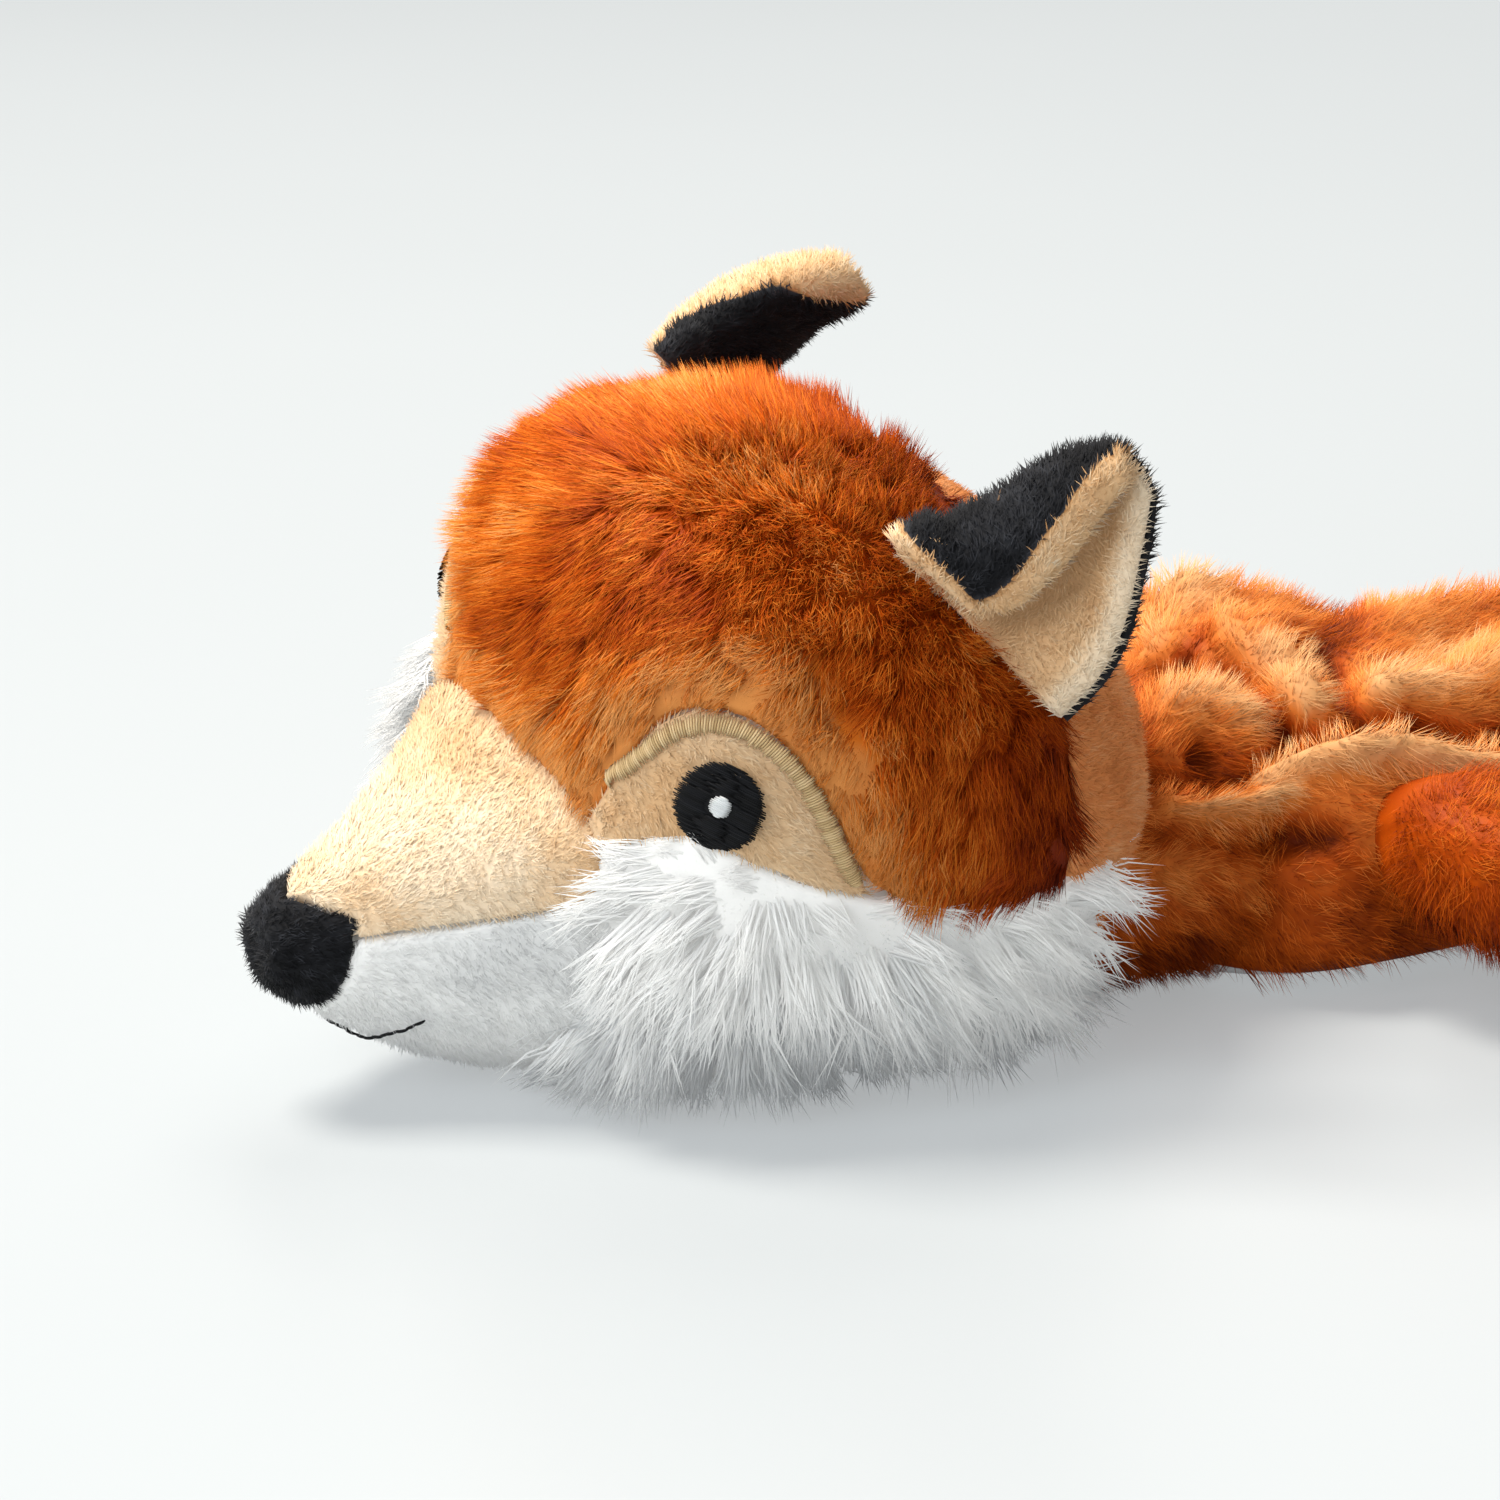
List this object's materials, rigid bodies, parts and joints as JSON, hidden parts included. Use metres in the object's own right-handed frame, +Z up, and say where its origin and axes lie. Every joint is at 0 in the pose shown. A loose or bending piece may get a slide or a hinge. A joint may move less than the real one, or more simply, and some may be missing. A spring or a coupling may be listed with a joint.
{
  "type": "plush fox",
  "caption": "Flat plush fox lying on its belly: stuffed head with folded ears, soft neck, folded two-part body, swinging legs and a brush tail in two parts.",
  "frame": {"origin": "on the floor, under the middle of the front half of the body, on the flat of the belly cloth", "axes": "+Z up, -Y towards the nose and +Y towards the tail, +X towards the fox's left side"},
  "size_m": [0.2532, 0.5746, 0.1084],
  "materials": {
    "rust_plush": "long-pile plush, rust orange",
    "amber_plush": "plush, paler orange",
    "tan_plush": "short-pile plush, tan",
    "white_plush": "plush, off-white",
    "black_plush": "short-pile plush, black",
    "black_thread": "embroidery thread, black",
    "white_thread": "embroidery thread, white",
    "gold_thread": "satin-stitch thread, dull gold",
    "stuffing": "fibre filling, white",
    "squeaker_vinyl": "soft vinyl, translucent white",
    "reed_plastic": "moulded plastic, pale grey"
  },
  "bodies": {
    "torso": {"body_pelt": "amber_plush", "body_belly": "white_plush", "body_squeaker_bulb": "squeaker_vinyl", "body_squeaker_reed": "reed_plastic"},
    "neck": {"neck": "amber_plush"},
    "head": {"head_stuffing": "stuffing", "nose": "black_plush", "muzzle_top": "tan_plush", "jaw": "white_plush", "crown": "rust_plush", "back_of_head": "amber_plush", "left_cheek_ruff": "white_plush", "right_cheek_ruff": "white_plush", "left_eye_patch": "tan_plush", "right_eye_patch": "tan_plush", "head_squeaker_bulb": "squeaker_vinyl", "head_squeaker_reed": "reed_plastic", "left_eye": "black_thread", "right_eye": "black_thread", "left_eye_glint": "white_thread", "right_eye_glint": "white_thread", "left_brow_stitch": "gold_thread", "right_brow_stitch": "gold_thread", "left_mouth_stitch": "black_thread", "right_mouth_stitch": "black_thread"},
    "left_ear": {"left_ear_lining": "tan_plush", "left_ear_back": "black_plush"},
    "right_ear": {"right_ear_lining": "tan_plush", "right_ear_back": "black_plush"},
    "rump": {"rump_pelt": "amber_plush", "rump_belly": "white_plush", "rump_squeaker_bulb": "squeaker_vinyl", "rump_squeaker_reed": "reed_plastic"},
    "left_foreleg": {"left_fore_leg": "rust_plush", "left_fore_paw": "black_plush"},
    "right_foreleg": {"right_fore_leg": "rust_plush", "right_fore_paw": "black_plush"},
    "left_hindleg": {"left_hind_leg": "rust_plush", "left_hind_paw": "black_plush"},
    "right_hindleg": {"right_hind_leg": "rust_plush", "right_hind_paw": "black_plush"},
    "tail": {"tail": "amber_plush"},
    "tail_tip": {"tail_tip": "white_plush"}
  },
  "joints": [
    {"name": "neck_turn", "type": "hinge", "parent": "torso", "child": "neck", "pos_m": [0, -0.065, 0.021], "axis": [0, 0, 1], "range_deg": [-25, 25]},
    {"name": "head_nod", "type": "hinge", "parent": "neck", "child": "head", "pos_m": [0, -0.055, 0.021], "axis": [-1, 0, 0], "range_deg": [-30, 55]},
    {"name": "left_ear_flick", "type": "hinge", "parent": "head", "child": "left_ear", "pos_m": [0.04293, -0.13083, 0.08273], "axis": [0.3268, 0.6235, -0.7102], "range_deg": [-8, 20], "stiffness_Nm_per_rad": 0.005},
    {"name": "right_ear_flick", "type": "hinge", "parent": "head", "child": "right_ear", "pos_m": [-0.02306, -0.13083, 0.09676], "axis": [0.5874, -0.6235, 0.5159], "range_deg": [-8, 20], "stiffness_Nm_per_rad": 0.005},
    {"name": "waist_fold", "type": "hinge", "parent": "torso", "child": "rump", "pos_m": [0, 0.0733, 0.018], "axis": [1, 0, 0], "range_deg": [-80, 80]},
    {"name": "left_foreleg_lift", "type": "hinge", "parent": "torso", "child": "left_foreleg", "pos_m": [0.05026, -0.028, 0.024], "axis": [0, -1, 0], "range_deg": [-20, 60]},
    {"name": "right_foreleg_lift", "type": "hinge", "parent": "torso", "child": "right_foreleg", "pos_m": [-0.05026, -0.028, 0.024], "axis": [0, 1, 0], "range_deg": [-20, 60]},
    {"name": "left_hindleg_lift", "type": "hinge", "parent": "rump", "child": "left_hindleg", "pos_m": [0.05352, 0.1343, 0.021], "axis": [0, -1, 0], "range_deg": [-20, 60]},
    {"name": "right_hindleg_lift", "type": "hinge", "parent": "rump", "child": "right_hindleg", "pos_m": [-0.05352, 0.1343, 0.021], "axis": [0, 1, 0], "range_deg": [-20, 60]},
    {"name": "tail_lift", "type": "hinge", "parent": "rump", "child": "tail", "pos_m": [0, 0.1766, 0.012], "axis": [1, 0, 0], "range_deg": [-20, 60]},
    {"name": "tail_tip_bend", "type": "hinge", "parent": "tail", "child": "tail_tip", "pos_m": [0, 0.3049, 0.012], "axis": [1, 0, 0], "range_deg": [-40, 40]}
  ]
}
